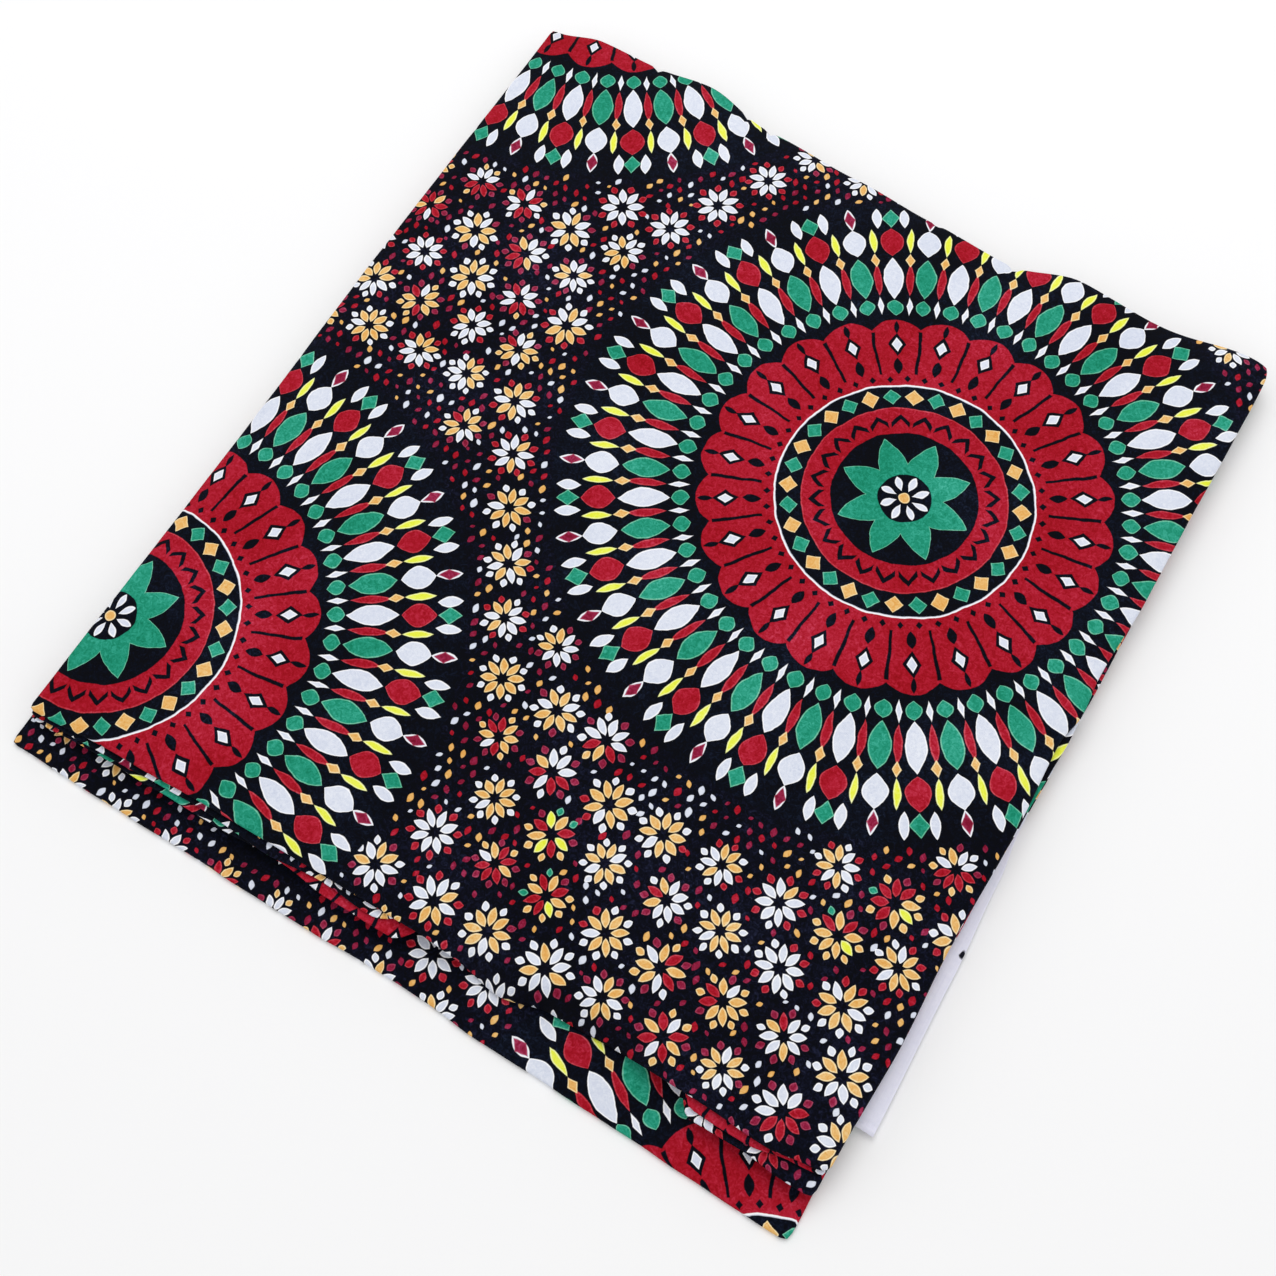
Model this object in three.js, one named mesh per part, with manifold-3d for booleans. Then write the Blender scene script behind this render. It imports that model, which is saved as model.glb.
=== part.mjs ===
// A length of printed cotton cloth, folded into a flat package and laid on a table.
//
// The cloth is folded in three across its width and then over and over along its length.
// +X runs across the width of the cloth, +Y along its length and +Z up. The near edge, at -Y,
// is where the lower leaves step out from under the top one. The origin is at the middle of
// the package's footprint, on the surface that it rests on. All sizes are in millimetres.

import * as THREE from 'three';
import { mergeVertices } from 'three/addons/utils/BufferGeometryUtils.js';
import Module from 'manifold-3d';

// ---- driving dimensions -------------------------------------------------------------------

const CLOTH_WIDTH = 1140;
const LEAVES_ACROSS = 3;
const HALF_WIDTH = CLOTH_WIDTH / LEAVES_ACROSS / 2;
const HALF_LENGTH = 207;
const CORNER_RADIUS = 2.4;
const INSIDE_CORNER_RADIUS = 1;
const SEAM_GAP = 0.6;

// The package from the table upwards.
const BOTTOM_THICKNESS = 2.2;
const SELVEDGE_THICKNESS = 1.0;
const INNER_THICKNESS = 5.0;
const MIDDLE_THICKNESS = 1.7;
const UNDER_THICKNESS = 1.7;
const TOP_THICKNESS = 2.2;

const BOTTOM_Z = 0;
const INNER_Z = BOTTOM_Z + BOTTOM_THICKNESS + SEAM_GAP;
const MIDDLE_Z = INNER_Z + INNER_THICKNESS + SEAM_GAP;
const UNDER_Z = MIDDLE_Z + MIDDLE_THICKNESS + SEAM_GAP;
const TOP_Z = UNDER_Z + UNDER_THICKNESS + SEAM_GAP;

// ---- edges of the package -----------------------------------------------------------------
// Each row gives where a fold edge runs: `at` is the distance along the edge, `edge` the
// position across it. An edge passes smoothly from row to row. The top leaf has its own
// edges. The leaves under it lie straighter, so that they peep out where it steps back.

const LEFT_FOLD = [
  { at: -205, edge: -188.7 },
  { at: -60, edge: -188.1 },
  { at: 60, edge: -189.2 },
  { at: 205, edge: -188.4 },
];

const LOWER_LEFT_FOLD = [
  { at: -205, edge: -188.2 },
  { at: -95, edge: -187.4 },
  { at: 30, edge: -188.6 },
  { at: 205, edge: -187.6 },
];

const BOTTOM_LEFT_FOLD = [
  { at: -212, edge: -191.6 },
  { at: -192, edge: -191.4 },
  { at: -140, edge: -188.4 },
  { at: 30, edge: -188.8 },
  { at: 205, edge: -187.8 },
];

const RIGHT_FOLD = [
  { at: -198, edge: 181.2 },
  { at: -133, edge: 183.0 },
  { at: -98, edge: 182.0 },
  { at: -44, edge: 183.3 },
  { at: 0, edge: 182.2 },
  { at: 17, edge: 185.0 },
  { at: 36, edge: 183.9 },
  { at: 80, edge: 186.0 },
  { at: 198, edge: 187.2 },
];

const LOWER_RIGHT_FOLD = [
  { at: -198, edge: 180.6 },
  { at: -100, edge: 182.0 },
  { at: 10, edge: 185.0 },
  { at: 40, edge: 185.3 },
  { at: 198, edge: 186.4 },
];

const FAR_FOLD = [
  { at: -186, edge: 208.0 },
  { at: -163, edge: 213.9 },
  { at: -133, edge: 213.2 },
  { at: -104, edge: 216.0 },
  { at: -67, edge: 207.2 },
  { at: -18, edge: 203.2 },
  { at: 24, edge: 199.3 },
  { at: 63, edge: 196.0 },
  { at: 95, edge: 204.0 },
  { at: 138, edge: 200.2 },
  { at: 176, edge: 205.4 },
];

const LOWER_FAR_FOLD = [
  { at: -186, edge: 207.4 },
  { at: -118, edge: 212.4 },
  { at: -44, edge: 204.0 },
  { at: 24, edge: 197.7 },
  { at: 66, edge: 194.9 },
  { at: 116, edge: 200.6 },
  { at: 176, edge: 203.2 },
];

const TOP_NEAR_FOLD = [
  { at: -190, edge: -199.2 },
  { at: -140, edge: -196.4 },
  { at: -92, edge: -195.0 },
  { at: 0, edge: -194.4 },
  { at: 20, edge: -195.2 },
  { at: 41, edge: -198.2 },
  { at: 62, edge: -193.4 },
  { at: 90, edge: -192.4 },
  { at: 124, edge: -193.4 },
  { at: 158, edge: -194.6 },
  { at: 174, edge: -192.4 },
  { at: 182, edge: -190.6 },
];

// Between these two places the top leaf slumps over the edges of the leaves under it, which
// stop short there at SLUMP_CLEAR.
const SLUMP_START = 8;
const SLUMP_END = 112;
const SLUMP_CLEAR = -179;

const slumpRows = [
  { at: SLUMP_START + 4, edge: SLUMP_CLEAR },
  { at: SLUMP_END - 2, edge: SLUMP_CLEAR },
];

const UNDER_NEAR_FOLD = [
  { at: -190, edge: -200.6 },
  { at: -150, edge: -198.8 },
  { at: -106, edge: -197.4 },
  { at: -66, edge: -198.6 },
  { at: -44, edge: -196.6 },
  { at: -18, edge: -198.2 },
  ...slumpRows,
  { at: 127, edge: -196.8 },
  { at: 150, edge: -197.4 },
  { at: 168, edge: -194.2 },
  { at: 182, edge: -193.0 },
];

const MIDDLE_NEAR_FOLD = [
  { at: -190, edge: -201.6 },
  { at: -140, edge: -200.2 },
  { at: -98, edge: -199.6 },
  { at: -62, edge: -198.6 },
  { at: -38, edge: -201.0 },
  { at: -7, edge: -200.6 },
  ...slumpRows,
  { at: 128, edge: -200.6 },
  { at: 150, edge: -200.0 },
  { at: 166, edge: -201.4 },
  { at: 182, edge: -201.4 },
];

const INNER_NEAR_FOLD = [
  { at: -190, edge: -200.0 },
  { at: -100, edge: -198.4 },
  { at: -60, edge: -197.6 },
  { at: -14, edge: -198.8 },
  ...slumpRows,
  { at: 129, edge: -198.8 },
  { at: 182, edge: -199.8 },
];

const BOTTOM_NEAR_FOLD = [
  { at: -186, edge: -213.9 },
  { at: -60, edge: -214.6 },
  { at: 8, edge: -214.2 },
  { at: 43, edge: -216.0 },
  { at: 112, edge: -217.4 },
  { at: 178, edge: -218.8 },
];

const SELVEDGE_EDGE = [
  { at: -170, edge: 189.8 },
  { at: -102, edge: 188.6 },
  { at: -58, edge: 186.9 },
  { at: -36, edge: 184.8 },
];
const SELVEDGE_NEAR_END = -170;
const SELVEDGE_FAR_END = -30;
const SELVEDGE_TUCK = 172;
const SELVEDGE_STEPS = 14;

// ---- the soft shape -----------------------------------------------------------------------

// Towards its rim the package is pressed thinner, so that its sides round away.
const RIM_PRESS = 0.15;
const RIM_REACH = 14;

// How far the top leaf is crowned, and how far it slumps over the near edge.
const SWELL = 0.9;
const SLUMP_DROP = 8.6;
const SLUMP_REACH = 13;
const SLUMP_BLEND = 22;

// A row for each large crease: its middle, its direction, the reach along and across it,
// and how far it sinks (or, where negative, stands up).
const CREASES = [
  { x: -66, y: 196, turn: 74, along: 20, across: 7, sink: 0.6 },
  { x: 72, y: 190, turn: 96, along: 18, across: 9, sink: 0.6 },
  { x: -104, y: 203, turn: 88, along: 22, across: 12, sink: -0.4 },
  { x: 96, y: 196, turn: 84, along: 18, across: 8, sink: -0.4 },
  { x: -176, y: 35, turn: 8, along: 20, across: 9, sink: 0.4 },
];

// ---- how finely each shape is faceted -----------------------------------------------------

const NEAR_STEPS = 30;
const RIGHT_STEPS = 11;
const FAR_STEPS = 18;
const LEFT_STEPS = 6;
const CORNER_STEPS = 3;
const ROLL_STEPS = 4;
const FACE_INSETS = [6, RIM_REACH];
const TOP_INSETS = [6, RIM_REACH, 26, 46, 78, 118, 160];

// ---- helpers ------------------------------------------------------------------------------

const smooth = (t) => t * t * (3 - 2 * t);

// Where an edge lies at a distance along it.
function edgeAt(rows, at) {
  if (at <= rows[0].at) {
    return rows[0].edge;
  }
  for (let i = 1; i < rows.length; i += 1) {
    if (at <= rows[i].at) {
      const share = (at - rows[i - 1].at) / (rows[i].at - rows[i - 1].at);
      return THREE.MathUtils.lerp(rows[i - 1].edge, rows[i].edge, smooth(share));
    }
  }
  return rows[rows.length - 1].edge;
}

// The straight sides of a plain rounded rectangle, run anticlockwise, each with the corner
// that ends it.
const SIDES = [
  { from: [-1, -1], to: [1, -1], steps: NEAR_STEPS, cornerStart: -90 },
  { from: [1, -1], to: [1, 1], steps: RIGHT_STEPS, cornerStart: 0 },
  { from: [1, 1], to: [-1, 1], steps: FAR_STEPS, cornerStart: 90 },
  { from: [-1, 1], to: [-1, -1], steps: LEFT_STEPS, cornerStart: 180 },
];

// Points round a plain rounded rectangle that is drawn in from the package's by `inset`.
// Every ring has the same count, so that rings can be joined to each other.
function plainRing(inset) {
  const radius = Math.max(CORNER_RADIUS - inset, INSIDE_CORNER_RADIUS);
  const halfX = HALF_WIDTH - inset - radius;
  const halfY = HALF_LENGTH - inset - radius;
  const points = [];
  for (const side of SIDES) {
    const start = THREE.MathUtils.degToRad(side.cornerStart);
    const out = [Math.cos(start), Math.sin(start)];
    for (let i = 0; i < side.steps; i += 1) {
      const share = i / side.steps;
      const x = THREE.MathUtils.lerp(side.from[0], side.to[0], share) * halfX;
      const y = THREE.MathUtils.lerp(side.from[1], side.to[1], share) * halfY;
      points.push([x + out[0] * radius, y + out[1] * radius]);
    }
    for (let i = 0; i < CORNER_STEPS; i += 1) {
      const angle = start + (Math.PI / 2) * (i / CORNER_STEPS);
      const x = side.to[0] * halfX + Math.cos(angle) * radius;
      const y = side.to[1] * halfY + Math.sin(angle) * radius;
      points.push([x, y]);
    }
  }
  return points;
}

// Moves a point of the plain rectangle to its place between a leaf's four fold edges. Each
// pass reads the edges where the one before put the point.
const PLACING_PASSES = 3;

function placed([x, y], edges) {
  const across = (x + HALF_WIDTH) / (2 * HALF_WIDTH);
  const along = (y + HALF_LENGTH) / (2 * HALF_LENGTH);
  let px = x;
  let py = y;
  for (let pass = 0; pass < PLACING_PASSES; pass += 1) {
    px = THREE.MathUtils.lerp(edgeAt(edges.left, py), edgeAt(edges.right, py), across);
    py = THREE.MathUtils.lerp(edgeAt(edges.near, px), edgeAt(edges.far, px), along);
  }
  return [px, py];
}

// How far a leaf's upper face stands above its plain level at a point.
function rise(x, y) {
  const crownX = 1 - (x / HALF_WIDTH) ** 2;
  const crownY = 1 - (y / HALF_LENGTH) ** 2;
  let height = SWELL * Math.max(0, crownX) * Math.max(0, crownY);
  for (const crease of CREASES) {
    const turn = THREE.MathUtils.degToRad(crease.turn);
    const dx = x - crease.x;
    const dy = y - crease.y;
    const u = (dx * Math.cos(turn) + dy * Math.sin(turn)) / crease.along;
    const v = (dy * Math.cos(turn) - dx * Math.sin(turn)) / crease.across;
    height -= crease.sink * Math.exp(-u * u - v * v);
  }
  return height;
}

// How far the top leaf has slumped at a point, which is most at its near edge.
function slump(x, y, edges) {
  const fromStart = THREE.MathUtils.clamp((x - SLUMP_START) / SLUMP_BLEND, 0, 1);
  const fromEnd = THREE.MathUtils.clamp((SLUMP_END - x) / SLUMP_BLEND, 0, 1);
  const inside = THREE.MathUtils.clamp((y - edgeAt(edges.near, x)) / SLUMP_REACH, 0, 1);
  return SLUMP_DROP * smooth(fromStart) * smooth(fromEnd) * (1 - inside) ** 2;
}

// How far a point lies inside the nearest edge of the top leaf.
function fromRim(x, y) {
  const sideways = Math.min(x - edgeAt(LEFT_FOLD, y), edgeAt(RIGHT_FOLD, y) - x);
  const lengthways = Math.min(y - edgeAt(TOP_NEAR_FOLD, x), edgeAt(FAR_FOLD, x) - y);
  return Math.min(sideways, lengthways);
}

// Presses a height down near the rim, by the same share for every leaf at a place. What lies
// as low as the bottom leaf stays.
function pressed(x, y, z) {
  const level = BOTTOM_Z + BOTTOM_THICKNESS;
  const toRim = 1 - THREE.MathUtils.clamp(fromRim(x, y) / RIM_REACH, 0, 1);
  const press = RIM_PRESS * toRim * toRim;
  return z <= level ? z : level + (z - level) * (1 - press);
}

// A closed solid from rings of equal count, each an array of [x, y, z]. The first ring is
// closed by a fan to its middle at the bottom, the last by one at the top.
function ringSolid(rings) {
  const count = rings[0].length;
  const middleOf = (ring) => {
    const sum = ring.reduce((a, p) => [a[0] + p[0], a[1] + p[1], a[2] + p[2]], [0, 0, 0]);
    return sum.map((total) => total / count);
  };
  const points = rings.flat();
  const bottom = points.push(middleOf(rings[0])) - 1;
  const top = points.push(middleOf(rings[rings.length - 1])) - 1;
  const faces = [];
  const lastRing = (rings.length - 1) * count;
  for (let i = 0; i < count; i += 1) {
    const next = (i + 1) % count;
    faces.push(bottom, next, i);
    faces.push(top, lastRing + i, lastRing + next);
    for (let r = 0; r < rings.length - 1; r += 1) {
      const low = r * count;
      const high = low + count;
      faces.push(low + i, low + next, high + next);
      faces.push(low + i, high + next, high + i);
    }
  }
  const geometry = new THREE.BufferGeometry();
  geometry.setAttribute('position', new THREE.Float32BufferAttribute(points.flat(), 3));
  geometry.setIndex(faces);
  return geometry;
}

// The half circle that a fold makes between two faces, from the lower one up. Each step gives
// how far the cloth is drawn in and its height.
function foldProfile(bottom, top) {
  const radius = (top - bottom) / 2;
  const profile = [];
  for (let i = 0; i <= ROLL_STEPS; i += 1) {
    const angle = THREE.MathUtils.degToRad(-90 + (180 * i) / ROLL_STEPS);
    const inset = radius * (1 - Math.cos(angle));
    profile.push({ inset, z: bottom + radius * (1 + Math.sin(angle)) });
  }
  return profile;
}

// The steps of a profile as rings between a leaf's edges, pressed thinner at the rim.
function ringsOf(profile, edges) {
  return profile.map(({ inset, z }) => (
    plainRing(inset).map((point) => {
      const [x, y] = placed(point, edges);
      return [x, y, pressed(x, y, z)];
    })
  ));
}

// The rings of a face, from its rim inwards.
const faceProfile = (insets, z) => insets.map((inset) => ({ inset, z }));

// A leaf with a fold rolled all round its rim.
function foldedLeaf(edges, bottom, thickness) {
  const top = bottom + thickness;
  const lowerFace = faceProfile(FACE_INSETS, bottom).reverse();
  const upperFace = faceProfile(FACE_INSETS, top);
  return ringSolid(ringsOf([...lowerFace, ...foldProfile(bottom, top), ...upperFace], edges));
}

// The bottom leaf, which nothing presses out of its plane.
function bottomLeaf(edges) {
  return ringSolid(ringsOf(foldProfile(BOTTOM_Z, BOTTOM_Z + BOTTOM_THICKNESS), edges));
}

// The top leaf. Its upper face is crowned and creased, and both faces slump at the near edge.
function topLeaf(edges) {
  const top = TOP_Z + TOP_THICKNESS;
  const lowerFace = faceProfile(FACE_INSETS, TOP_Z).reverse();
  const upperFace = faceProfile(TOP_INSETS, top);
  const profile = [...lowerFace, ...foldProfile(TOP_Z, top), ...upperFace];
  const rings = ringsOf(profile, edges);
  rings.forEach((ring, i) => {
    const share = (profile[i].z - TOP_Z) / TOP_THICKNESS;
    for (const point of ring) {
      point[2] += share * rise(point[0], point[1]) - slump(point[0], point[1], edges);
    }
  });
  return ringSolid(rings);
}

// The hidden layers: one solid whose side is a stack of small rolled edges, drawn in by
// different amounts and most at the top and the bottom.
const LAYER_SETBACK = [0.7, 0.1, 0.6, 0.0, 0.9];
const GROOVE_DEPTH = 0.9;
const LAYER_BULGE = { start: 0.35, end: 0.7 };
const GROOVE_WIDTH = 0.08;

function layeredLeaves(edges) {
  const layer = INNER_THICKNESS / LAYER_SETBACK.length;
  const top = INNER_Z + INNER_THICKNESS;
  const profile = [];
  LAYER_SETBACK.forEach((setback, k) => {
    const z = INNER_Z + k * layer;
    const grooveZ = k === 0 ? z : z + layer * GROOVE_WIDTH;
    profile.push({ inset: setback + GROOVE_DEPTH, z: grooveZ });
    profile.push({ inset: setback, z: z + layer * LAYER_BULGE.start });
    profile.push({ inset: setback, z: z + layer * LAYER_BULGE.end });
  });
  profile.push({ inset: LAYER_SETBACK.at(-1) + GROOVE_DEPTH, z: top });
  profile.push(...faceProfile(FACE_INSETS, top));
  return ringSolid(ringsOf(profile, edges));
}

// The selvedge: a flat strip whose inner part is tucked between the leaves. `grow` makes it
// larger all round, for the room that the leaves leave it.
function selvedgeStrip(grow) {
  const outline = new THREE.Shape();
  outline.moveTo(SELVEDGE_TUCK - grow, SELVEDGE_FAR_END + grow);
  outline.lineTo(SELVEDGE_TUCK - grow, SELVEDGE_NEAR_END - grow);
  for (let i = 0; i <= SELVEDGE_STEPS; i += 1) {
    const share = i / SELVEDGE_STEPS;
    const y = THREE.MathUtils.lerp(SELVEDGE_NEAR_END - grow, SELVEDGE_FAR_END + grow, share);
    outline.lineTo(edgeAt(SELVEDGE_EDGE, y) + grow, y);
  }
  outline.closePath();
  const depth = SELVEDGE_THICKNESS + 2 * grow;
  const geometry = new THREE.ExtrudeGeometry(outline, { depth, bevelEnabled: false, steps: 1 });
  geometry.translate(0, 0, INNER_Z - grow);
  return geometry;
}

// ---- cutting one solid from another -------------------------------------------------------

const wasm = await Module();
wasm.setup();

function toManifold(geometry) {
  const plain = geometry.clone();
  plain.deleteAttribute('normal');
  plain.deleteAttribute('uv');
  const merged = mergeVertices(plain, 1e-4);
  const vertProperties = new Float32Array(merged.attributes.position.array);
  const triVerts = new Uint32Array(merged.index.array);
  return new wasm.Manifold(new wasm.Mesh({ numProp: 3, vertProperties, triVerts }));
}

function toGeometry(solid) {
  const mesh = solid.getMesh();
  const geometry = new THREE.BufferGeometry();
  const positions = new THREE.Float32BufferAttribute(mesh.vertProperties, 3);
  geometry.setAttribute('position', positions);
  geometry.setIndex(Array.from(mesh.triVerts));
  return geometry;
}

// ---- the object ---------------------------------------------------------------------------

const fabric = new THREE.Group();

function addLeaf(name, geometry, color, roughness) {
  geometry.computeVertexNormals();
  const material = new THREE.MeshStandardMaterial({ color, roughness, metalness: 0 });
  const mesh = new THREE.Mesh(geometry, material);
  mesh.name = name;
  fabric.add(mesh);
}

const topEdges = { left: LEFT_FOLD, right: RIGHT_FOLD, far: FAR_FOLD, near: TOP_NEAR_FOLD };
const lowerSides = { left: LOWER_LEFT_FOLD, right: LOWER_RIGHT_FOLD, far: LOWER_FAR_FOLD };
const underEdges = { ...lowerSides, near: UNDER_NEAR_FOLD };
const middleEdges = { ...lowerSides, near: MIDDLE_NEAR_FOLD };
const innerEdges = { ...lowerSides, near: INNER_NEAR_FOLD };
const bottomEdges = { ...lowerSides, left: BOTTOM_LEFT_FOLD, near: BOTTOM_NEAR_FOLD };

addLeaf('top_leaf', topLeaf(topEdges), '#171a2b', 0.78);
addLeaf('under_leaf', foldedLeaf(underEdges, UNDER_Z, UNDER_THICKNESS), '#a3192c', 0.78);
addLeaf('middle_leaf', foldedLeaf(middleEdges, MIDDLE_Z, MIDDLE_THICKNESS), '#171a2b', 0.78);

const inner = toManifold(layeredLeaves(innerEdges));
const room = toManifold(selvedgeStrip(SEAM_GAP));
addLeaf('inner_leaves', toGeometry(inner.subtract(room)), '#2a2438', 0.8);

addLeaf('selvedge_strip', selvedgeStrip(0), '#d5d3e8', 0.8);
addLeaf('bottom_leaf', bottomLeaf(bottomEdges), '#171a2b', 0.78);

export default fabric;
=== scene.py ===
# %% [markdown]
# # A folded length of wax print cloth
# The real thing is one long rectangle of printed cotton. It is folded in three across its
# width and then over and over along its length, so it lies as a flat package. What shows is
# the top leaf, the fold edges of the leaves under it, a strip of unprinted selvedge, and the
# bottom leaf, which sticks out along the near edge. Each of these is a thin sheet here, laid
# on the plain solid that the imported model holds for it. The script starts with those solids.

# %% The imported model
import math
from functools import partialmethod

import bpy
import numpy as np
from mathutils import Matrix, Vector


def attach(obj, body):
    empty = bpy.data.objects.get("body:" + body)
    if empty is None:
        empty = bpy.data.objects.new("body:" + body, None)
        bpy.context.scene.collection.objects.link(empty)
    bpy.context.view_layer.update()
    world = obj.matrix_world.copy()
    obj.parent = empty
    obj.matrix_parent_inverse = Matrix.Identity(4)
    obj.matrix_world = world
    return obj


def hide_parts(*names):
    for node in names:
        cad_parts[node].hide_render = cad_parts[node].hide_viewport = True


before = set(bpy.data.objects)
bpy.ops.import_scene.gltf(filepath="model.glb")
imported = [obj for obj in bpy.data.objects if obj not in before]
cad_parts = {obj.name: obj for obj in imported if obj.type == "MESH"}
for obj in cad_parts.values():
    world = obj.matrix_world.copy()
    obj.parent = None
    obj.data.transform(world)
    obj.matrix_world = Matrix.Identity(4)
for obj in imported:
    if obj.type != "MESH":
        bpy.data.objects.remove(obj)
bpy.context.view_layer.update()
print("solids:", ", ".join(sorted(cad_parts)))

# %% [markdown]
# ## The camera
# The camera looks steeply down on the package from its near right corner. Its place is in
# metres from the middle of the footprint. An azimuth, an elevation and a small roll turn it,
# which is easier to read and to change than a matrix. The same helper will aim the lights.

# %% The camera
CAMERA_PLACE = Vector((0.1583, -0.2536, 0.6455))
CAMERA_AZIMUTH, CAMERA_ELEVATION, CAMERA_ROLL = 35.0, 68.1, -4.3
LENS_MM, SENSOR_MM = 46.34, 36.0


def back_towards(azimuth, elevation):
    """The direction from the package to something at an azimuth and elevation in degrees."""
    a, e = math.radians(azimuth), math.radians(elevation)
    return Vector((math.sin(a) * math.cos(e), -math.cos(a) * math.cos(e), math.sin(e)))


def aim(place, azimuth, elevation, roll=0.0):
    """The matrix that puts a camera or light at a place, looking down at that angle."""
    turn = back_towards(azimuth, elevation).to_track_quat("Z", "Y").to_matrix().to_4x4()
    return Matrix.Translation(place) @ turn @ Matrix.Rotation(math.radians(roll), 4, "Z")


def linked(name, data):
    """A new object in the scene for a mesh, a camera or a light."""
    thing = bpy.data.objects.new(name, data)
    bpy.context.scene.collection.objects.link(thing)
    return thing


camera_data = bpy.data.cameras.new("camera")
camera_data.lens, camera_data.sensor_width = LENS_MM, SENSOR_MM
camera_data.clip_start, camera_data.clip_end = 0.01, 20.0
camera = linked("camera", camera_data)
camera.matrix_world = aim(CAMERA_PLACE, CAMERA_AZIMUTH, CAMERA_ELEVATION, CAMERA_ROLL)
bpy.context.scene.camera = camera
print("camera looks along", [round(-v, 3) for v in camera.matrix_world.col[2][:3]])

# %% [markdown]
# ## Where the fold edges run
# Cloth shapes are worked out in millimetres and made in metres. A fold edge is a short table:
# how far along the edge, and where the edge lies there. The cloth passes smoothly from row to
# row. The leaves under the top one lie straighter, so they peep out where it steps back.

# %% The pile, from the floor up
MM = 0.001
HALF_WIDTH, HALF_LENGTH = 190.0, 207.0
SEAM_GAP = 0.6
BOTTOM_THICK, INNER_THICK, MIDDLE_THICK, UNDER_THICK, TOP_THICK = 2.2, 5.0, 1.7, 1.7, 2.2
INNER_Z = BOTTOM_THICK + SEAM_GAP
MIDDLE_Z = INNER_Z + INNER_THICK + SEAM_GAP
UNDER_Z = MIDDLE_Z + MIDDLE_THICK + SEAM_GAP
TOP_Z = UNDER_Z + UNDER_THICK + SEAM_GAP
print("pile height, mm:", round(TOP_Z + TOP_THICK, 1))


# %% The fold edges
def table(columns, *rows):
    """A short table, as one array for each named column."""
    return {name: np.array(column, float) for name, column in zip(columns.split(), zip(*rows))}


LEFT = table("at edge", (-205, -188.7), (-60, -188.1), (60, -189.2), (205, -188.4))
LOWER_LEFT = table("at edge", (-205, -188.2), (-95, -187.4), (30, -188.6), (205, -187.6))
BOTTOM_LEFT = table("at edge", (-212, -191.6), (-192, -191.4), (-140, -188.4), (30, -188.8),
                    (205, -187.8))
RIGHT = table("at edge", (-198, 181.2), (-133, 183.0), (-98, 182.0), (-44, 183.3), (0, 182.2),
              (17, 185.0), (36, 183.9), (80, 186.0), (198, 187.2))
LOWER_RIGHT = table("at edge", (-198, 180.6), (-100, 182.0), (10, 185.0), (40, 185.3),
                    (198, 186.4))
FAR = table("at edge", (-186, 208.0), (-163, 213.9), (-133, 213.2), (-104, 216.0), (-67, 207.2),
            (-18, 203.2), (24, 199.3), (63, 196.0), (95, 204.0), (138, 200.2), (176, 205.4))
LOWER_FAR = table("at edge", (-186, 207.4), (-118, 212.4), (-44, 204.0), (24, 197.7),
                  (66, 194.9), (116, 200.6), (176, 203.2))
TOP_NEAR = table("at edge", (-190, -199.2), (-140, -196.4), (-92, -195.0), (0, -194.4),
                 (20, -195.2), (41, -198.2), (62, -193.4), (90, -192.4), (124, -193.4),
                 (158, -194.6), (174, -192.4), (182, -190.6))
UNDER_NEAR = table("at edge", (-190, -200.6), (-150, -198.8), (-106, -197.4), (-66, -198.6),
                   (-44, -196.6), (-18, -198.2), (12, -179), (110, -179), (127, -196.8),
                   (150, -197.4), (168, -194.2), (182, -193.0))
MIDDLE_NEAR = table("at edge", (-190, -201.6), (-140, -200.2), (-98, -199.6), (-62, -198.6),
                    (-38, -201.0), (-7, -200.6), (12, -179), (110, -179), (128, -200.6),
                    (150, -200.0), (166, -201.4), (182, -201.4))
INNER_NEAR = table("at edge", (-190, -200.0), (-100, -198.4), (-60, -197.6), (-14, -198.8),
                   (12, -179), (110, -179), (129, -198.8), (182, -199.8))
BOTTOM_NEAR = table("at edge", (-186, -213.9), (-60, -214.6), (8, -214.2), (43, -216.0),
                    (112, -217.4), (178, -218.8))
top_edges = (LEFT, RIGHT, TOP_NEAR, FAR)
under_edges = (LOWER_LEFT, LOWER_RIGHT, UNDER_NEAR, LOWER_FAR)
middle_edges = (LOWER_LEFT, LOWER_RIGHT, MIDDLE_NEAR, LOWER_FAR)
inner_edges = (LOWER_LEFT, LOWER_RIGHT, INNER_NEAR, LOWER_FAR)
bottom_edges = (BOTTOM_LEFT, LOWER_RIGHT, BOTTOM_NEAR, LOWER_FAR)
beyond_top = TOP_NEAR["edge"].mean() - BOTTOM_NEAR["edge"].mean()
print("the bottom leaf sticks out by about, mm:", round(beyond_top, 1))


# %% Places between the edges
PLACING_PASSES = 3
CORNER_X, CORNER_Y = 187.0, 206.0
CORNER_PULL, CORNER_REACH = 1.6, 5.5


def smooth(share):
    """Eases a share between 0 and 1."""
    share = np.clip(share, 0, 1)
    return share * share * (3 - 2 * share)


def lerp(a, b, share):
    """The value a share of the way from a to b."""
    return a + (b - a) * share


def edge_at(rows, at):
    """Where an edge lies at a distance along it."""
    after = np.clip(np.searchsorted(rows["at"], at), 1, len(rows["at"]) - 1)
    start, end = rows["at"][after - 1], rows["at"][after]
    share = smooth((at - start) / (end - start))
    return lerp(rows["edge"][after - 1], rows["edge"][after], share)


def placed(x, y, edges):
    """Moves points of a plain rectangle to their places between a leaf's four edges. Each
    pass finds x from the last y, and y from the new x, until the two agree. The far right
    corner would come to a point, so it is then drawn in and blunted."""
    left, right, near, far = edges
    across, along = (x + HALF_WIDTH) / (2 * HALF_WIDTH), (y + HALF_LENGTH) / (2 * HALF_LENGTH)
    for _ in range(PLACING_PASSES):
        x = lerp(edge_at(left, y), edge_at(right, y), across)
        y = lerp(edge_at(near, x), edge_at(far, x), along)
    pull = CORNER_PULL * np.exp(-((x - CORNER_X) ** 2 + (y - CORNER_Y) ** 2) / CORNER_REACH ** 2)
    return x - pull, y - pull


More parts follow.
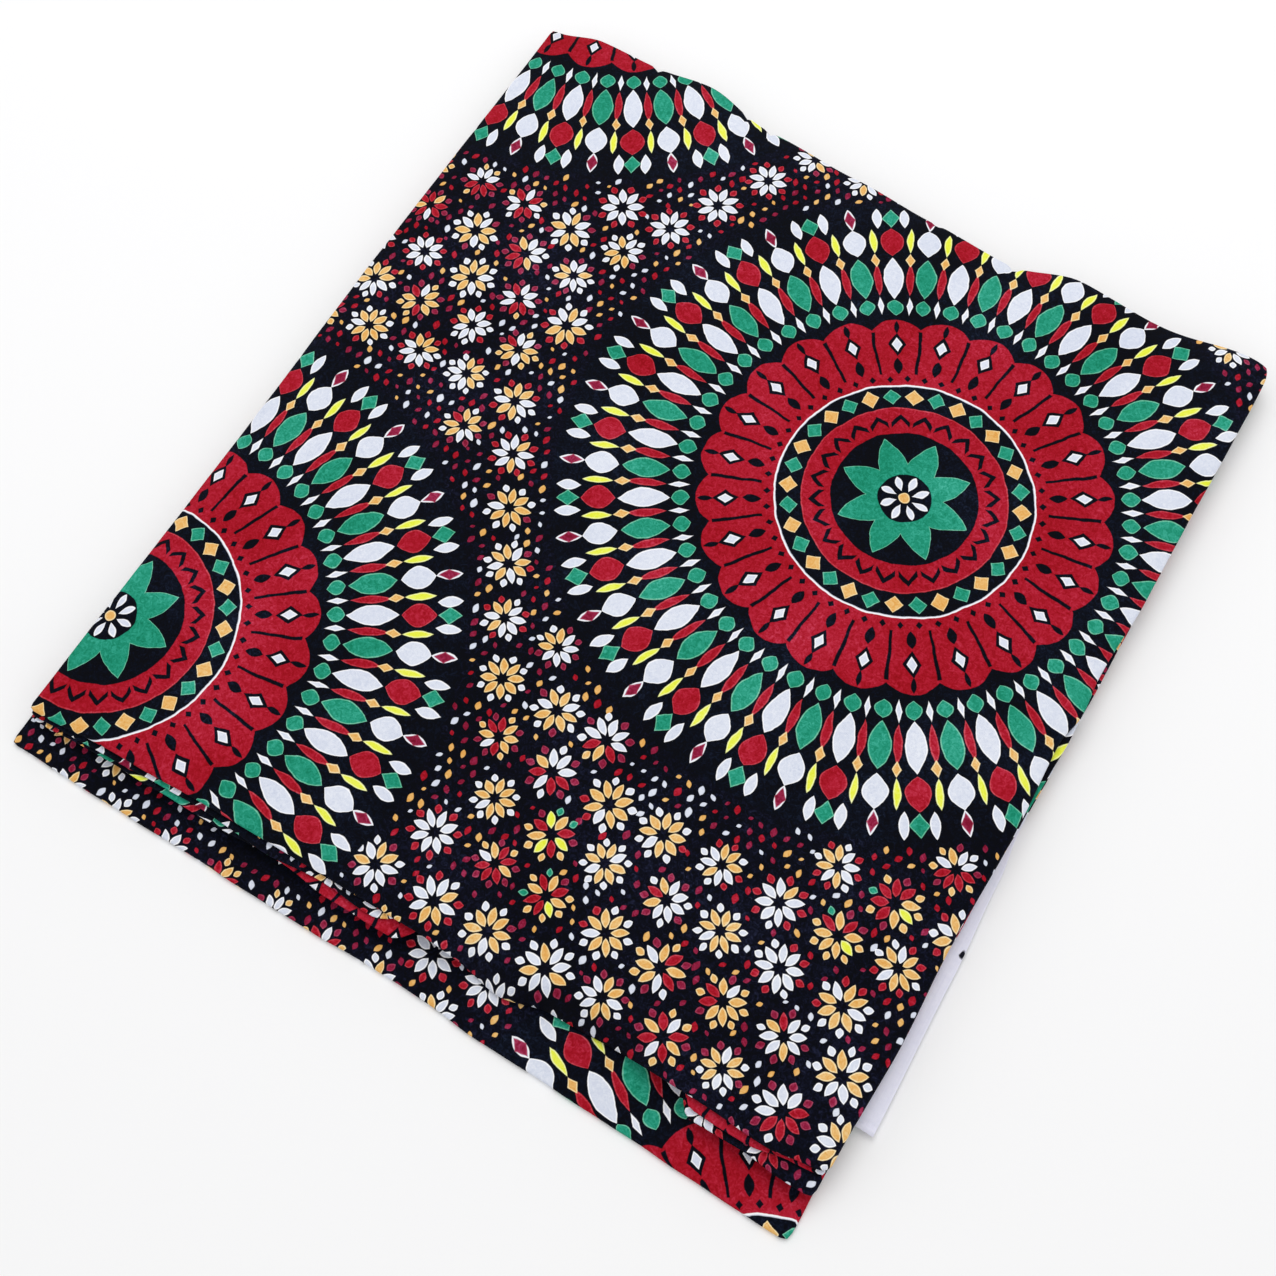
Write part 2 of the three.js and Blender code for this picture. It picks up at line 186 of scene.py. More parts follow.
middle = placed(np.array([0.0]), np.array([0.0]), top_edges)
print("middle of the top leaf, mm:", [round(float(v[0]), 1) for v in middle])

# %% [markdown]
# ## How the cloth gives
# Three things bend a leaf. The pile is pressed thinner towards its rim, so its sides round
# away. The top leaf slumps over the near edge for part of its length, where the leaves under
# it stops short. And creases, listed in a table, sink or lift it. A crease is a soft
# trough with its own middle, direction, reach and depth, so no two look alike. A crease that
# sinks by less than nothing is a ridge. Small nicks draw the far fold in, where it puckers.

# %% Pressing, slumping and creases
RIM_PRESS, RIM_REACH = 0.15, 14.0
SWELL = 0.9
SLUMP_START, SLUMP_END, SLUMP_BLEND = 8.0, 112.0, 22.0
SLUMP_DROP, SLUMP_REACH = 8.6, 13.0
CREASES = table(
    "x y turn along across sink",
    (-66, 194, 74, 20, 7, 0.6),
    (72, 188, 96, 18, 9, 0.6),
    (-104, 201, 88, 22, 12, -0.4),
    (96, 194, 84, 18, 8, -0.4),
    (-176, 35, 8, 20, 9, 0.4),
    (-30, 160, 82, 46, 9, 0.25),
    (20, 150, 100, 60, 12, -0.22),
    (120, -30, 62, 70, 11, 0.22),
    (-120, -70, 24, 64, 13, -0.2),
    (-40, -150, 12, 70, 8, 0.2),
    (64, -176, 4, 46, 5, 0.7),
    (5, -193.6, 6, 9, 1.5, 0.7),
    (13, -196.2, -8, 8, 1.4, 0.6),
    (19, -191.4, 12, 10, 1.8, -0.5),
    (33, -195.2, -4, 9, 1.6, 0.5),
    (28, -187, 62, 12, 4, 0.5),
    (58, -186, 104, 10, 3.6, -0.5),
    (84, -187, 76, 12, 4, 0.5),
    (120, -188, 32, 17, 4, 0.7),
    (30, 20, 48, 90, 14, 0.18),
    (150, -120, 80, 44, 9, -0.25),
)
NOTCHES = table("at depth width", (-131, 1.7, 1.8), (-80, 1.3, 1.6), (-66, 1.5, 1.8),
                (26, 0.9, 2.0), (67, 2.2, 2.2))
NOTCH_LENGTH, NOTCH_SINK = 9.0, 0.35


def from_rim(x, y):
    """How far a point lies inside the nearest edge of the top leaf."""
    sideways = np.minimum(x - edge_at(LEFT, y), edge_at(RIGHT, y) - x)
    lengthways = np.minimum(y - edge_at(TOP_NEAR, x), edge_at(FAR, x) - y)
    return np.minimum(sideways, lengthways)


def press_at(x, y):
    """How much of its height a leaf keeps at a point: less at the rim."""
    return 1 - RIM_PRESS * (1 - np.clip(from_rim(x, y) / RIM_REACH, 0, 1)) ** 2


def pressed(x, y, z):
    """A height in the pile once it is pressed. What lies as low as the bottom leaf stays."""
    return np.where(z <= BOTTOM_THICK, z, BOTTOM_THICK + (z - BOTTOM_THICK) * press_at(x, y))


def slumped(x, y):
    """How far the top leaf hangs down at a point, which is most at its near edge."""
    window = smooth((x - SLUMP_START) / SLUMP_BLEND) * smooth((SLUMP_END - x) / SLUMP_BLEND)
    inside = np.clip((y - edge_at(TOP_NEAR, x)) / SLUMP_REACH, 0, 1)
    return SLUMP_DROP * window * (1 - inside) ** 2


def creased(x, y):
    """The height that the creases add at points."""
    height = np.zeros_like(x)
    for cx, cy, turn, along, across, sink in zip(*CREASES.values()):
        c, s = math.cos(math.radians(turn)), math.sin(math.radians(turn))
        u, v = ((x - cx) * c + (y - cy) * s) / along, ((y - cy) * c - (x - cx) * s) / across
        height -= sink * np.exp(-u * u - v * v)
    return height


def notched(x, y):
    """How far the far edge is drawn in at points by small nicks, which fade inwards."""
    depth = np.zeros_like(x)
    for at, size, width in zip(*NOTCHES.values()):
        depth += size * np.exp(-((x - at) / width) ** 2)
    return depth * np.exp(-((edge_at(FAR, x) - y) / NOTCH_LENGTH) ** 2)


def lying(x, y, z, share):
    """The height of a leaf that simply lies in the pile."""
    return pressed(x, y, z)


def draped(x, y, z, share):
    """The height of the top leaf, which is crowned, creased, nicked and slumped."""
    crown = np.clip(1 - (x / HALF_WIDTH) ** 2, 0, 1) * np.clip(1 - (y / HALF_LENGTH) ** 2, 0, 1)
    bend = SWELL * crown + creased(x, y) - NOTCH_SINK * notched(x, y)
    return pressed(x, y, z) + share * bend - slumped(x, y)


print("creases:", len(CREASES["x"]))

# %% [markdown]
# ## A leaf
# A leaf of folded cloth is a flat sheet whose rim rolls over. It could be a plane with a
# bevel, but then a print would be squashed on the roll. Here a square grid is stretched into
# the leaf's rounded outline, ring by ring, so no point of it is pinched, and the outer rings
# follow the fold edges and go round a half circle. The flat cut is kept as a UV map named
# "cut", in metres. On the face it is where the cloth lies, and over the roll it runs on
# outwards by the length of cloth, so that the print flows over the fold.

# %% Rings of a leaf
CORNER_RADIUS, INSIDE_CORNER_RADIUS = 2.4, 1.0
ROLL_STEPS = 14
RIM_INSETS = (14.0, 12.4, 10.9, 9.5, 8.2, 7.0, 5.9, 4.9, 4.0, 3.2, 2.5, 1.9)
LOWER_INSETS = (2.6, 4.5, 8.0)
LOWER_SCALES = (1.0, 0.8, 0.6, 0.4, 0.2)
OUTWARD = np.array(((0, -1), (1, 0), (0, 1), (-1, 0)), float)
ONWARD = np.array(((1, 0), (0, 1), (-1, 0), (0, -1)), float)


def plain_ring(side, share, inset):
    """Points on a plain rounded rectangle drawn in by inset, and which way is out there.
    The sides are 0 near, 1 right, 2 far and 3 left, and share runs along one from -1 to 1."""
    radius = np.maximum(CORNER_RADIUS - inset, INSIDE_CORNER_RADIUS)
    level = side % 2 == 0
    straight = np.where(level, HALF_WIDTH, HALF_LENGTH) - inset - radius
    depth = np.where(level, HALF_LENGTH, HALF_WIDTH) - inset - radius
    run = share * (straight + radius * math.pi / 4)
    angle = np.clip(np.abs(run) - straight, 0, None) / radius * np.sign(run)
    on = np.clip(run, -straight, straight) + radius * np.sin(angle)
    out = depth + radius * np.cos(angle)
    point = OUTWARD[side] * out[:, None] + ONWARD[side] * on[:, None]
    normal = OUTWARD[side] * np.cos(angle)[:, None] + ONWARD[side] * np.sin(angle)[:, None]
    return point, normal


def section(bottom, thick, face_rings):
    """A leaf's rings from the middle of its face, over the roll, to its lower face. Each is
    (inset, scale, height, rolled), where rolled is the cloth between it and the flat face."""
    radius = thick / 2
    rings = [(RIM_REACH, ring / face_rings, bottom + thick, 0) for ring in range(face_rings)]
    rings += [(inset, 1, bottom + thick, 0) for inset in RIM_INSETS]
    on_face = len(rings)
    for step in range(ROLL_STEPS + 1):
        angle = math.pi * step / ROLL_STEPS
        height = bottom + radius * (1 + math.cos(angle))
        rings.append((radius * (1 - math.sin(angle)), 1, height, radius * angle))
    rings += [(inset, 1, bottom, radius * math.pi) for inset in LOWER_INSETS]
    rings += [(RIM_REACH, scale, bottom, radius * math.pi) for scale in LOWER_SCALES]
    return np.array(rings), on_face


rings_shown, _ = section(TOP_Z, TOP_THICK, 84)
print("rings in the top leaf:", len(rings_shown))


# %% The grid that joins them
def grid_points(rim):
    """The face's grid: the ring, side and share along that side of each point."""
    steps = np.arange(-rim, rim + 1)
    across, along = (axis.ravel() for axis in np.meshgrid(steps, steps))
    ring = np.maximum(np.abs(across), np.abs(along))
    side = np.select([along == -ring, across == ring, along == ring], [0, 1, 2], 3)
    on = ONWARD[side, 0] * across + ONWARD[side, 1] * along
    return ring, side, on / np.maximum(ring, 1)


def rim_points(rim):
    """One trip round the grid's rim: the side, share and grid number of each point."""
    steps = np.tile(np.arange(-rim, rim), 4)
    side = np.repeat(np.arange(4), 2 * rim)
    place = OUTWARD[side] * rim + ONWARD[side] * steps[:, None]
    number = (place[:, 1] + rim) * (2 * rim + 1) + place[:, 0] + rim
    return side, steps / rim, number.astype(int)


def grid_faces(rim, bands, rim_numbers):
    """Quads of the grid and of the bands beyond its rim, and the triangles that close it."""
    size, around = 2 * rim + 1, 8 * rim
    corner = (np.arange(size - 1)[:, None] * size + np.arange(size - 1)).ravel()
    quads = [np.stack([corner, corner + 1, corner + size + 1, corner + size], 1)]
    inner = rim_numbers
    for band in range(bands):
        outer = size * size + band * around + np.arange(around)
        quads.append(np.stack([inner, outer, np.roll(outer, -1), np.roll(inner, -1)], 1))
        inner = outer
    last = np.full(around, size * size + bands * around)
    return quads, np.stack([inner, last, np.roll(inner, -1)], 1)


print("points round a rim of 95 steps:", len(rim_points(95)[0]))


# %% A mesh from arrays
def cloth_object(name, points, faces, cut, material):
    """A smooth piece from points in mm, faces, and the cut at each corner of each face."""
    mesh = bpy.data.meshes.new(name)
    mesh.from_pydata((points * MM).tolist(), [], faces)
    mesh.uv_layers.new(name="cut").data.foreach_set("uv", (cut * MM).ravel())
    mesh.shade_smooth()
    mesh.materials.append(material)
    mesh.validate()
    return linked(name, mesh)


# %% [markdown]
# The lower face of a leaf is one more layer of the same cloth, joined to the upper one over
# the near fold, so its cut is the upper one mirrored in that fold. On the other three sides
# the two layers only lie edge to edge, and the print changes there, low on the roll. The rim
# also strays a little, by a few sine waves of odd lengths, because no one folds dead straight.

# %% The leaf maker
STRAY_WAVES = table("length size", (97, 0.5), (41, 0.3), (23, 0.2))
SIDES_APART = 500.0
PRINT_CHANGE = 0.75


def strays(run, seed):
    """A soft uneven wave along an edge, between about -1 and 1."""
    waves = zip(STRAY_WAVES["length"], STRAY_WAVES["size"])
    return sum(size * np.sin(2 * math.pi * run / length + seed * length) for length, size in waves)


def leaf(name, edges, bottom, thick, shape, material, face_rings=56, stray=0.4, seed=1,
         shift=(0, 0), nicked=False):
    """A closed leaf between four fold edges. shape(x, y, z, share) gives its height, share
    being 1 on its face and 0 under it. shift slides the cut, to bring other print up, and
    nicked draws the far edge in at its nicks."""
    rings, on_face = section(bottom, thick, face_rings)
    rim, beyond = on_face - 1, np.arange(on_face, len(rings))
    ring, side, share = grid_points(rim)
    loop_side, loop_share, loop_number = rim_points(rim)
    ring = np.concatenate([ring, np.repeat(beyond, 8 * rim)])
    side = np.concatenate([side, np.tile(loop_side, len(beyond))])
    share = np.concatenate([share, np.tile(loop_share, len(beyond))])
    inset, scale, level, rolled = rings[ring].T
    plain, out = plain_ring(side, share, inset)
    x, y = placed(*(plain * scale[:, None]).T, edges)
    flat, _ = plain_ring(side, share, np.where(rolled > 0, thick / 2, inset))
    cut = np.stack(placed(*(flat * scale[:, None]).T, edges), 1) + out * rolled[:, None]
    away = stray * strays(np.where(side % 2 == 0, x, y) + SIDES_APART * side, seed)
    away = away * np.clip(1 - inset / RIM_REACH, 0, 1)
    x, y = x + out[:, 0] * away, y + out[:, 1] * away
    z = shape(x, y, level, (level - bottom) / thick)
    if nicked:
        y = y - notched(x, y)
    near_fold = edge_at(edges[2], x)
    mirrored = np.stack([x, 2 * near_fold + (2 - math.pi) * thick / 2 - y], 1)
    quads, closing = grid_faces(rim, len(beyond), loop_number)
    points, last = np.stack([x, y, z], 1), slice(-8 * rim, None)
    points = np.append(points, [points[last].mean(0)], 0)
    cut = np.append(cut, [cut[-1]], 0)
    mirrored = np.append(mirrored, [mirrored[last].mean(0)], 0)
    changes = 1 + round(PRINT_CHANGE * ROLL_STEPS)
    corners = [cut[faces.ravel()] for faces in quads[:1 + changes]]
    corners += [mirrored[faces.ravel()] for faces in (*quads[1 + changes:], closing)]
    faces = [face for group in (*quads, closing) for face in group.tolist()]
    piece = cloth_object(name, points, faces, np.concatenate(corners) + shift, material)
    print(f"{name}: {len(faces)} faces, top at {z.max():.1f} mm")
    return piece

# %% [markdown]
# ## Sums on sockets
# A print is a drawing made of sums: circles, petals and diamonds, each a distance that is
# below zero inside it. Such sums are hard to read as lists of nodes. So one small class wraps
# a node's socket, and adding or comparing two of them adds the Math node that does it. Every
# other node comes from one method, add, which is given its type, settings and inputs. Short
# methods on top of it make the few vector sums and noises that come up often.

# %% Trees and sockets
class Tree:
    """A node tree, and the one method that adds nodes to it."""

    def __init__(self, nodes):
        self.nodes = nodes

    def add(self, kind, settings=(), values=(), output=0):
        """Adds a node, sets it up, gives its inputs values or links, and returns an output."""
        node = self.nodes.nodes.new(kind)
        for name, setting in dict(settings).items():
            if name == "stops":
                self.set_stops(node.color_ramp, setting)
            else:
                setattr(node, name, setting)
        pairs = values.items() if isinstance(values, dict) else enumerate(values)
        for key, value in pairs:
            if isinstance(value, Wire):
                self.nodes.links.new(value.socket, node.inputs[key])
            else:
                node.inputs[key].default_value = value
        return Wire(self, node.outputs[output]) if len(node.outputs) else node

    def vector(self, *parts):
        """A vector from three values or wires."""
        return self.add("ShaderNodeCombineXYZ", {}, parts)

    def parts(self, vector):
        """The first two parts of a vector."""
        return [self.add("ShaderNodeSeparateXYZ", {}, (vector,), k) for k in range(2)]

    def vectors(self, operation, *values):
        """One sum on vectors."""
        return self.add("ShaderNodeVectorMath", {"operation": operation}, values)

    def scaled(self, vector, by):
        """A vector times a value."""
        return self.add("ShaderNodeVectorMath", {"operation": "SCALE"}, {0: vector, 3: by})

    def noise(self, place, scale, detail, output=0, **more):
        """A soft noise over places: a value, or a colour where output is 1."""
        values = {"Vector": place, "Scale": scale, "Detail": detail, **more}
        return self.add("ShaderNodeTexNoise", {}, values, output)

    def set_stops(self, ramp, stops):
        """Gives a colour ramp hard steps at (position, colour) stops."""
        ramp.interpolation = "CONSTANT"
        while len(ramp.elements) < len(stops):
            ramp.elements.new(1.0)
        for element, (position, colour) in zip(ramp.elements, stops):
            element.position, element.color = position, colour


class Wire:
    """A node's output. Sums on it add Math nodes, so that they read as plain sums."""

    def __init__(self, tree, socket):
        self.tree, self.socket = tree, socket

    def maths(self, operation, *others, clamp=False):
        """One sum, on this socket first and then on the others."""
        settings = {"operation": operation, "use_clamp": clamp}
        return self.tree.add("ShaderNodeMath", settings, (self, *others))

    def __rsub__(self, other):
        return self.tree.add("ShaderNodeMath", {"operation": "SUBTRACT"}, (other, self))

    __add__ = __radd__ = partialmethod(maths, "ADD")
    __sub__ = partialmethod(maths, "SUBTRACT")
    __mul__ = __rmul__ = partialmethod(maths, "MULTIPLY")
    __truediv__ = partialmethod(maths, "DIVIDE")
    __pow__ = partialmethod(maths, "POWER")
    __abs__ = partialmethod(maths, "ABSOLUTE")
    __lt__ = partialmethod(maths, "LESS_THAN")
    __gt__ = partialmethod(maths, "GREATER_THAN")
    floor = partialmethod(maths, "FLOOR")
    fraction = partialmethod(maths, "FRACT")
    sine, cosine = partialmethod(maths, "SINE"), partialmethod(maths, "COSINE")
    greatest = partialmethod(maths, "MAXIMUM")
    modulo = partialmethod(maths, "FLOORED_MODULO")
    turn_from = partialmethod(maths, "ARCTAN2")

    def wrap(self, half):
        """Brings a value between -half and half by whole turns."""
        return self.maths("WRAP", half, -half)

    def inside(self, soft=0.3, past=0.0):
        """1 where a distance is below past, else 0, with an edge soft mm wide."""
        return self.maths("MULTIPLY_ADD", -1 / soft, 0.5 + past / soft, clamp=True)


def pick(share, a, b):
    """A value a share of the way from a to b, by a Mix node."""
    return share.tree.add("ShaderNodeMix", {}, {0: share, 2: a, 3: b})


def dye(share, cloth, ink):
    """A colour where share of ink covers the cloth."""
    return share.tree.add("ShaderNodeMix", {"data_type": "RGBA"}, {0: share, 6: cloth, 7: ink}, 2)


print("sums on sockets: + - * / ** abs < >, and by name: floor, sine, greatest, wrap")

# %% [markdown]
# ## The dyes
# A wax print is dyed, not painted, so its colours are few and deep. The ground is a navy that
# is nearly black. Blender wants colours in linear light, so they are turned from screen
# values once, here. A motif has a thin paler edge, where two printings don't quite meet.

# %% The dyes
def linear(hex_code):
    """A screen colour, written as six hex digits, as a linear colour with alpha."""
    parts = [int(hex_code[i:i + 2], 16) / 255 for i in (0, 2, 4)]
    return (*[p / 12.92 if p <= 0.04045 else ((p + 0.055) / 1.055) ** 2.4 for p in parts], 1.0)


NAVY = linear("030612")
INKS = {"navy": NAVY, "crimson": linear("A41427"), "green": linear("239175"),
        "lilac": linear("D6DBE8"), "orange": linear("E2AF66"), "lemon": linear("E4EA4E"),
        "plum": linear("8A1C3C")}
EDGES = {"crimson": linear("C03A46"), "green": linear("6FBF9F"), "lilac": linear("FCFCFF"),
         "orange": linear("F7DCA6"), "lemon": linear("F3F7A6"), "plum": linear("A03A55")}
print("dyes:", ", ".join(INKS))

# %% [markdown]
# ## The print
# The design is a plain one of its kind: big round medallions in a half-drop repeat, each with
# rings of leaves round it, on a field of small rosettes. All of it is worked out from the cut,
# in mm. For the rings a short table says what motif goes round at which radius, how many of
# them, and in which dye. The sum turns the plane into sectors, so one motif is drawn for all.

# %% What goes round a medallion
CENTRE_U, CENTRE_V = 78.0, 66.0
REPEAT_U, REPEAT_V = 262.0, 430.0
DISC_RADIUS, SCALLOP, SCALLOPS = 84.0, 5.0, 24
FIELD_START = 151.0
# motif, dye, radius, count, phase, length, width
AROUND = (
    ("leaf", "green", 95.5, 48, 0.0, 8, 7),
    ("lozenge", "lilac", 96, 48, 0.5, 9, 2.8),
    ("leaf", "lilac", 111, 24, 0.0, 22, 9),
    ("leaf", "green", 111, 24, 0.5, 21, 9.5),
    ("leaf", "crimson", 110, 48, 0.5, 17, 3.6),
    ("lozenge", "orange", 120.5, 48, 0.5, 7, 4),
    ("leaf", "crimson", 130.5, 24, 0.0, 15, 11),
    ("leaf", "lilac", 130.5, 24, 0.5, 15, 10.5),
    ("leaf", "lemon", 131, 48, 0.5, 13, 3.2),
    ("lozenge", "green", 143.5, 24, 0.0, 10, 8),
    ("leaf", "lilac", 143.5, 72, 0.5, 11, 4.6),
    ("lozenge", "plum", 143.5, 24, 0.5, 9, 5),
)
WITHIN = (
    ("rays", "navy", 72, 24, 0.5, 22, 1.5),
    ("leaf", "navy", 85, 24, 0.0, 7, 2.4),
    ("lozenge", "navy", 76, 24, 0.0, 12, 8),
    ("lozenge", "lilac", 76, 24, 0.0, 7, 4.4),
    ("leaf", "navy", 65, 24, 0.0, 8, 4),
    ("lozenge", "navy", 58.6, 48, 0.5, 3.4, 3),
    ("round", "lilac", 55.6, 0, 0, 0, 0),
    ("round", "navy", 54.8, 0, 0, 0, 0),
    ("lozenge", "orange", 49.5, 16, 0.0, 8, 8),
    ("lozenge", "green", 49.5, 16, 0.5, 8, 8),
    ("round", "crimson", 44, 0, 0, 0, 0),
    ("chevron", "navy", 37.5, 24, 0.0, 2.6, 8.4),
    ("round", "navy", 31.5, 0, 0, 0, 0),
    ("star", "green", 29.4, 8, 0.0, 0, 1.1),
    ("round", "navy", 11.5, 0, 0, 0, 0),
    ("leaf", "lilac", 7.2, 8, 0.0, 7.4, 3),
    ("round", "orange", 2.4, 0, 0, 0, 0),
)
print("rings of motifs:", len(AROUND) + len(WITHIN))


# %% Motifs
EDGE = 0.45


def motif(kind, r, out, side, radius, length, width):
    """The distance in mm to a motif's outline. out and side are measured from its middle."""
    if kind == "leaf":
        reach = out * (2 / length)
        return abs(side) - (1 - reach * reach) * (width / 2)
    if kind == "lozenge":
        return abs(out) * (width / length) + abs(side) - width / 2
    if kind == "chevron":
        return (abs(out + abs(side) - width / 4) - length / 2).greatest(abs(side) - width / 2)
    if kind == "rays":
        return (abs(side) - width / 2).greatest(abs(out) - length / 2)
    if kind == "star":
        return r - radius + abs(side) * width
    return r - radius


def ring_of(r, turn, colour, rows):
    """Dyes rows of motifs round a centre over a colour, each with a paler edge."""
    for kind, ink, radius, count, phase, length, width in rows:
        side = None
        if count:
            sector = (turn * (count / (2 * math.pi)) + phase).wrap(0.5)
            side = sector * (2 * math.pi * radius / count)
        distance = motif(kind, r, r - radius, side, radius, length, width)
        fill = INKS[ink]
        if ink in EDGES:
            fill = dye(distance.inside(past=-EDGE), EDGES[ink], fill)
        colour = dye(distance.inside(), colour, fill)
    return colour


print("motifs: leaf, lozenge, chevron, rays, star, round")

# %% [markdown]
# The repeats are two square lattices, one half a step from the other. A point belongs to the
# nearer centre. The small rosettes sit on two such lattices of their own, and the seeds
# between them in rows like bricks. Each rosette has its own turn, size and dye, from one White
# Noise node that is fed the rosette's middle, so it is the same all over the rosette. A
# rosette is left out where it would reach into a medallion's rings, and a seed where its own
# middle lies on a rosette, so that no motif is cut in two.

# %% Repeats
def nearest(u, v, wide, high):
    """The offsets from the nearest point of two lattices, one half a step from the other."""
    one = (u.wrap(wide / 2), v.wrap(high / 2))
    other = ((u - wide / 2).wrap(wide / 2), (v - high / 2).wrap(high / 2))
    nearer = (one[0] * one[0] + one[1] * one[1]) < (other[0] * other[0] + other[1] * other[1])
    return pick(nearer, other[0], one[0]), pick(nearer, other[1], one[1])


def from_medallion(u, v):
    """The offsets from the nearest medallion's centre."""
    return nearest(u - CENTRE_U, v - CENTRE_V, 2 * REPEAT_U, REPEAT_V)


def length_of(du, dv):
    """The length of an offset."""
    return (du * du + dv * dv) ** 0.5


def bricks(u, v, wide, high):
    """The offsets from the middle of a point's brick, and where that middle is."""
    row = (v / high).floor()
    lean = (row * 0.5).fraction() * wide
    middle_u = (((u + lean) / wide).floor() + 0.5) * wide - lean
    middle_v = (row + 0.5) * high
    return u - middle_u, v - middle_v, middle_u, middle_v


def chances(middle_u, middle_v):
    """Three random shares that stay the same over a brick."""
    tree = middle_u.tree
    place = tree.vector(middle_u, middle_v, 0.0)
    noise = tree.add("ShaderNodeTexWhiteNoise", {"noise_dimensions": "2D"}, {"Vector": place}, 1)
    return [tree.add("ShaderNodeSeparateColor", {}, (noise,), k) for k in range(3)]


print("one medallion to every", round(REPEAT_U * REPEAT_V / 100), "square cm")

# %% The field of rosettes
SEED_WIDE, SEED_HIGH, SEED_STRAY = 5.5, 5.1, 0.9
SEED_SLOPE, SEED_CLEAR, SEED_MARGIN = 2.6, 0.7, 2.0
SEED_LENGTH, SEED_LENGTH_MORE = 1.6, 0.7
SEED_BREADTH, SEED_BREADTH_MORE = 1.0, 0.4
ROSETTE_WIDE, ROSETTE_HIGH, ROSETTE_STRAY = 26.0, 45.0, 2.4
ROSETTE_SIZE, ROSETTE_SIZE_MORE, ROSETTE_MARGIN = 0.74, 0.16, 10.0
PETALS, PETAL_STEP, LIKENESS = 8, 1.7, 0.72
INNER_RING, OUTER_RING = (7.0, 8.8, 4.1), (11.4, 4.6, 3.4)
SEED_STOPS = ((0.0, "plum"), (0.3, "crimson"), (0.52, "lilac"), (0.8, "orange"))
PETAL_STOPS = ((0.0, "lilac"), (0.3, "orange"), (0.52, "lilac"), (0.66, "crimson"),
               (0.78, "orange"), (0.9, "lemon"), (0.95, "lilac"))
TIP_STOPS = ((0.0, "crimson"), (0.3, "lilac"), (0.55, "plum"), (0.75, "orange"),
             (0.92, "green"))


def ink_at(chance, stops, inks):
    """One of several inks, by chance."""
    steps = [(position, inks[name]) for position, name in stops]
    return chance.tree.add("ShaderNodeValToRGB", {"stops": steps}, (chance,))


def rosette_at(u, v):
    """The rosette that a point belongs to: its place (the offsets from its middle, its size
    and whether it is there at all) and what marks it (its middle and two random shares)."""
    du, dv = nearest(u, v, ROSETTE_WIDE, ROSETTE_HIGH)
    mu = ((u - du) * (2 / ROSETTE_WIDE) + 0.5).floor() * (ROSETTE_WIDE / 2)
    mv = ((v - dv) * (2 / ROSETTE_HIGH) + 0.5).floor() * (ROSETTE_HIGH / 2)
    chance, spin, growth = chances(mu, mv)
    kept = length_of(*from_medallion(mu, mv)) > FIELD_START + ROSETTE_MARGIN
    du, dv = du + (spin - 0.5) * ROSETTE_STRAY, dv + (growth - 0.5) * ROSETTE_STRAY
    size = growth * ROSETTE_SIZE_MORE + ROSETTE_SIZE
    return (du, dv, size, kept), (mu, mv, chance, spin)


def petals_of(r, steps, size, ring):
    """The distance to a rosette's petals, and the number of the nearest one."""
    middle, length, width = ring
    out = (r / size - middle) * (2 / length)
    side = abs(steps.wrap(0.5)) * r * (2 * math.pi / PETALS)
    return side - (1 - out * out) * size * (width / 2), (steps + 0.5).floor().modulo(PETALS)


def seeds(u, v, colour):
    """Dyes small seeds over a colour, in the gaps between the rosettes."""
    du, dv, mu, mv = bricks(u, v, SEED_WIDE, SEED_HIGH)
    chance, slant, swell = chances(mu, mv)
    (far_u, far_v, size, kept), _ = rosette_at(mu, mv)
    reach = OUTER_RING[0] + OUTER_RING[1] / 2
    free = (length_of(far_u, far_v) - size * reach * kept) > SEED_CLEAR
    free = free * (length_of(*from_medallion(mu, mv)) > FIELD_START + SEED_MARGIN)
    du, dv = du + (slant - 0.5) * SEED_STRAY, dv + (swell - 0.5) * SEED_STRAY
    slope = (slant - 0.5) * SEED_SLOPE
    out = (dv - du * slope) / (swell * SEED_LENGTH_MORE + SEED_LENGTH)
    breadth = swell * SEED_BREADTH_MORE + SEED_BREADTH
    seed = abs(du + dv * slope) - (1 - out * out) * breadth
    return dye(seed.inside() * free, colour, ink_at(chance, SEED_STOPS, INKS))


def rosettes(u, v, colour):
    """Dyes rosettes over a colour, each petal by chance, but mostly like its neighbours."""
    (du, dv, size, kept), (mu, mv, chance, spin) = rosette_at(u, v)
    r = length_of(du, dv)
    steps = dv.turn_from(du) * (PETALS / (2 * math.pi)) + spin
    for ring, turn, stops in ((OUTER_RING, 0.5, TIP_STOPS), (INNER_RING, 0.0, PETAL_STOPS)):
        petal, number = petals_of(r, steps + turn, size, ring)
        petal_chance, _, _ = chances(mu + number * PETAL_STEP + turn, mv)
        ink = chance * LIKENESS + petal_chance * (1 - LIKENESS)
        fill = dye(petal.inside(past=-EDGE), ink_at(ink, stops, EDGES), ink_at(ink, stops, INKS))
        colour = dye(petal.inside() * kept, colour, fill)
    return colour


print("a rosette is about", round(2 * OUTER_RING[0] + OUTER_RING[1]), "mm across")

# %% [markdown]
# ## Printed cotton
# The finish of the cloth is four things. The dye is a little uneven, in small worm-like
# blotches that come from the wax, and in wide clouds. More dye is a deeper colour, as more
# ink is in a glass, so the unevenness is a power of the colour: bare cloth stays pale and the
# deep dyes vary most. A printed edge is never quite straight, so the drawing is shifted by a
# soft noise before any sums. The threads are a plain weave, far finer than the print, and
# show as a tiny bump. And the cotton is matt: a weak, wide gloss and a trace of sheen.

# %% Threads
THREAD = 0.42
THREAD_HEIGHT, SLACK_HEIGHT = 0.02, 0.16


def weave_height(u, v):
    """Crossing threads of a plain weave, from -1 to 1."""
    turn = 2 * math.pi / THREAD
    return (u * turn).sine() * (v * turn).sine()


